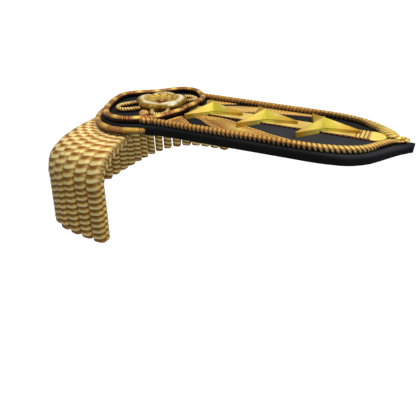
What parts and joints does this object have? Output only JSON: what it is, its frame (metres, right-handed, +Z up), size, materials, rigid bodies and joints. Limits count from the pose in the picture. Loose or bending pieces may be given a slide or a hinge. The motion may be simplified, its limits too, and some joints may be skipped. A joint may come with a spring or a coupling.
{
  "type": "fringed shoulder board",
  "caption": "Padded shoulder board with a pointed strap, gold cords, embroidered leaves, raised stars, a rosette and a bullion fringe round its outer end.",
  "frame": {"origin": "on the underside of the board, on its middle line, below the middle star, where the board rests on the shoulder", "axes": "+X along the strap to its point, +Y across the shoulder, +Z up out of the top of the board; the fringe hangs towards -Z"},
  "size_m": [0.1822, 0.1475, 0.0581],
  "materials": {
    "black_felt": "matt fine felt",
    "gold_cord": "wound gold thread with brown shadows",
    "gold_lace": "woven gold lace, satin",
    "gold_embroidery": "satin-stitched gold thread",
    "star_metal": "bright lemon gilt, satin",
    "rosette_metal": "bright gilt with grained inner petals",
    "button_metal": "red gold, polished",
    "gold_bullion": "wound bullion, pale gold with brown turns"
  },
  "bodies": {
    "root": {"board": "black_felt", "edge_cord": "gold_cord", "lobed_cord": "gold_cord", "outer_cord": "gold_cord", "middle_strip": "gold_lace", "leaf_front_1": "gold_embroidery", "leaf_front_2": "gold_embroidery", "leaf_back_1": "gold_embroidery", "leaf_back_2": "gold_embroidery", "star_1": "star_metal", "star_2": "star_metal", "star_3": "star_metal", "rosette": "rosette_metal", "rosette_button": "button_metal", "loop_left": "gold_cord", "loop_front": "gold_cord", "loop_back": "gold_cord", "tail": "gold_cord", "fringe": "gold_bullion"}
  },
  "joints": []
}
